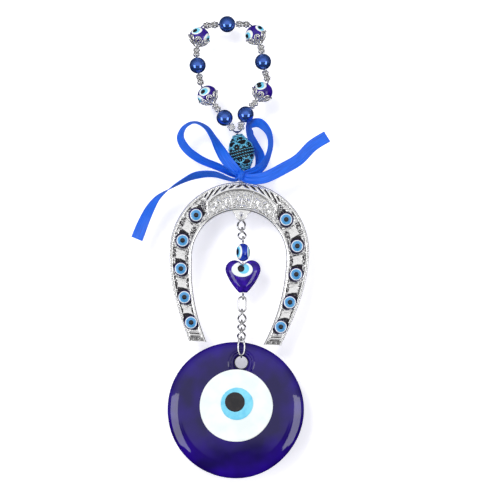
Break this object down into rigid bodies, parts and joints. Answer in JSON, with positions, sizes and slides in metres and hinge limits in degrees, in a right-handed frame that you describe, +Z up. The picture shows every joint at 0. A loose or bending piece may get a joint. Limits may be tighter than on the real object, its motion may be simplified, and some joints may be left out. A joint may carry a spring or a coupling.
{
  "type": "evil eye ornament",
  "caption": "Hanging charm: a beaded loop and ribbon bow carry a silver horseshoe with small glass eyes, a heart bead and a large round glass eye disc on a chain.",
  "frame": {"origin": "the hanging point inside the bead loop, just under its top pearl, where a nail carries the ornament", "axes": "+Z up along the hanging line, +X to the right as seen from the front, -Y towards the viewer, +Y towards the wall"},
  "size_m": [0.0994, 0.0174, 0.2309],
  "materials": {
    "silver": "bright cast and polished silver plate, darkened in the recesses",
    "pearl": "metallic blue pearl coat",
    "blue_glass": "deep cobalt glass, polished",
    "white_glass": "opaque white glass",
    "sky_glass": "opaque light blue glass",
    "black_glass": "opaque black glass",
    "ribbon": "satin ribbon",
    "drop_bead": "black bead with teal raised scrolls",
    "thread": "waxed cord"
  },
  "bodies": {
    "hanging_loop": {"stringing_cord": "thread", "flower_spacers_01": "silver", "flower_spacers_02": "silver", "flower_spacers_03": "silver", "flower_spacers_04": "silver", "flower_spacers_05": "silver", "flower_spacers_06": "silver", "flower_spacers_07": "silver", "flower_spacers_08": "silver", "flower_spacers_09": "silver", "flower_spacers_10": "silver"},
    "pearl_lower_left": {"pearl_lower_left": "pearl"},
    "eye_bead_lower_left": {"eye_bead_lower_left": "blue_glass", "petal_cap_lower_left": "silver"},
    "pearl_left": {"pearl_left": "pearl"},
    "eye_bead_upper_left": {"eye_bead_upper_left": "blue_glass", "petal_cap_upper_left": "silver"},
    "pearl_top": {"pearl_top": "pearl"},
    "eye_bead_upper_right": {"eye_bead_upper_right": "blue_glass", "petal_cap_upper_right": "silver"},
    "pearl_right": {"pearl_right": "pearl"},
    "eye_bead_lower_right": {"eye_bead_lower_right": "blue_glass", "petal_cap_lower_right": "silver"},
    "pearl_lower_right": {"pearl_lower_right": "pearl"},
    "bow": {"stem_cord": "thread", "ribbon_knot": "ribbon", "ribbon_loop_left": "ribbon", "ribbon_loop_right": "ribbon", "ribbon_tail_left": "ribbon", "ribbon_tail_right": "ribbon"},
    "drop_bead": {"drop_bead": "drop_bead"},
    "horseshoe": {"horseshoe": "silver", "cabochon_left_1": "blue_glass", "cabochon_left_2": "blue_glass", "cabochon_left_3": "blue_glass", "cabochon_left_4": "blue_glass", "cabochon_left_5": "blue_glass", "cabochon_right_1": "blue_glass", "cabochon_right_2": "blue_glass", "cabochon_right_3": "blue_glass", "cabochon_right_4": "blue_glass", "cabochon_right_5": "blue_glass"},
    "upper_link_1": {"upper_link_1": "silver"},
    "upper_link_2": {"upper_link_2": "silver"},
    "eye_pin": {"eye_pin": "silver"},
    "flat_eye_bead": {"flat_eye_bead": "blue_glass"},
    "heart_bead": {"heart_bead": "blue_glass"},
    "lower_link_1": {"lower_link_1": "silver"},
    "lower_link_2": {"lower_link_2": "silver"},
    "lower_link_3": {"lower_link_3": "silver"},
    "lower_link_4": {"lower_link_4": "silver"},
    "disc_bail": {"disc_bail": "silver"},
    "disc": {"disc_glass": "blue_glass", "disc_white": "white_glass", "disc_iris": "sky_glass", "disc_pupil": "black_glass"}
  },
  "joints": [
    {"name": "pearl_lower_left_spin", "type": "hinge", "parent": "hanging_loop", "child": "pearl_lower_left", "pos_m": [-0.0017, 0, -0.0424], "axis": [-0.6231, 0, 0.7821], "continuous": true},
    {"name": "eye_bead_lower_left_spin", "type": "hinge", "parent": "hanging_loop", "child": "eye_bead_lower_left", "pos_m": [-0.0104, 0, -0.0309], "axis": [-0.5471, 0, 0.8371], "continuous": true},
    {"name": "pearl_left_spin", "type": "hinge", "parent": "hanging_loop", "child": "pearl_left", "pos_m": [-0.0152, 0, -0.0162], "axis": [-0.129, 0, 0.9917], "continuous": true},
    {"name": "eye_bead_upper_left_spin", "type": "hinge", "parent": "hanging_loop", "child": "eye_bead_upper_left", "pos_m": [-0.0142, 0, -0.0016], "axis": [0.2849, 0, 0.9586], "continuous": true},
    {"name": "pearl_top_spin", "type": "hinge", "parent": "hanging_loop", "child": "pearl_top", "pos_m": [-0.0004, 0, 0.0044], "axis": [0.9994, 0, 0.036], "continuous": true},
    {"name": "eye_bead_upper_right_spin", "type": "hinge", "parent": "hanging_loop", "child": "eye_bead_upper_right", "pos_m": [0.0136, 0, -0.0006], "axis": [0.452, 0, -0.892], "continuous": true},
    {"name": "pearl_right_spin", "type": "hinge", "parent": "hanging_loop", "child": "pearl_right", "pos_m": [0.0175, 0, -0.0144], "axis": [0.132, 0, -0.9912], "continuous": true},
    {"name": "eye_bead_lower_right_spin", "type": "hinge", "parent": "hanging_loop", "child": "eye_bead_lower_right", "pos_m": [0.0174, 0, -0.0291], "axis": [-0.4891, 0, -0.8722], "continuous": true},
    {"name": "pearl_lower_right_spin", "type": "hinge", "parent": "hanging_loop", "child": "pearl_lower_right", "pos_m": [0.0088, 0, -0.0407], "axis": [-0.5331, 0, -0.8461], "continuous": true},
    {"name": "bow_swing", "type": "hinge", "parent": "hanging_loop", "child": "bow", "pos_m": [0.0045, 0, -0.05038], "axis": [0, 1, 0], "range_deg": [-10, 10]},
    {"name": "drop_bead_spin", "type": "hinge", "parent": "bow", "child": "drop_bead", "pos_m": [0.0045, 0, -0.0506], "axis": [0.2439, 0, -0.9698], "continuous": true},
    {"name": "horseshoe_tilt", "type": "hinge", "parent": "bow", "child": "horseshoe", "pos_m": [0.0074, 0, -0.07165], "axis": [1, 0, 0], "range_deg": [-8, 25]},
    {"name": "upper_link_1_swing", "type": "hinge", "parent": "horseshoe", "child": "upper_link_1", "pos_m": [0.00652, 0, -0.09268], "axis": [1, 0, 0], "range_deg": [-20, 20]},
    {"name": "upper_link_2_swing", "type": "hinge", "parent": "upper_link_1", "child": "upper_link_2", "pos_m": [0.00672, 0, -0.09853], "axis": [-1, 0, 0], "range_deg": [-25, 25]},
    {"name": "eye_pin_swing", "type": "hinge", "parent": "upper_link_2", "child": "eye_pin", "pos_m": [0.00702, 0, -0.10303], "axis": [1, 0, 0], "range_deg": [-20, 20]},
    {"name": "flat_eye_bead_spin", "type": "hinge", "parent": "eye_pin", "child": "flat_eye_bead", "pos_m": [0.00752, 0, -0.10968], "axis": [0, 0, 1], "continuous": true},
    {"name": "heart_bead_spin", "type": "hinge", "parent": "eye_pin", "child": "heart_bead", "pos_m": [0.00752, 0, -0.1182], "axis": [0, 0, 1], "continuous": true},
    {"name": "lower_link_1_swing", "type": "hinge", "parent": "eye_pin", "child": "lower_link_1", "pos_m": [0.00712, 0, -0.13185], "axis": [-1, 0, 0], "range_deg": [-20, 20]},
    {"name": "lower_link_2_swing", "type": "hinge", "parent": "lower_link_1", "child": "lower_link_2", "pos_m": [0.00712, 0, -0.13935], "axis": [1, 0, 0], "range_deg": [-20, 20]},
    {"name": "lower_link_3_swing", "type": "hinge", "parent": "lower_link_2", "child": "lower_link_3", "pos_m": [0.007, 0, -0.14484], "axis": [-1, 0, 0], "range_deg": [-25, 25]},
    {"name": "lower_link_4_swing", "type": "hinge", "parent": "lower_link_3", "child": "lower_link_4", "pos_m": [0.00688, 0, -0.1487], "axis": [1, 0, 0], "range_deg": [-25, 25]},
    {"name": "bail_swing", "type": "hinge", "parent": "lower_link_4", "child": "disc_bail", "pos_m": [0.00676, 0, -0.15337], "axis": [-1, 0, 0], "range_deg": [-30, 30]},
    {"name": "disc_swing", "type": "hinge", "parent": "disc_bail", "child": "disc", "pos_m": [0.00666, 0, -0.16172], "axis": [0, 1, 0], "range_deg": [-7, 10]}
  ]
}
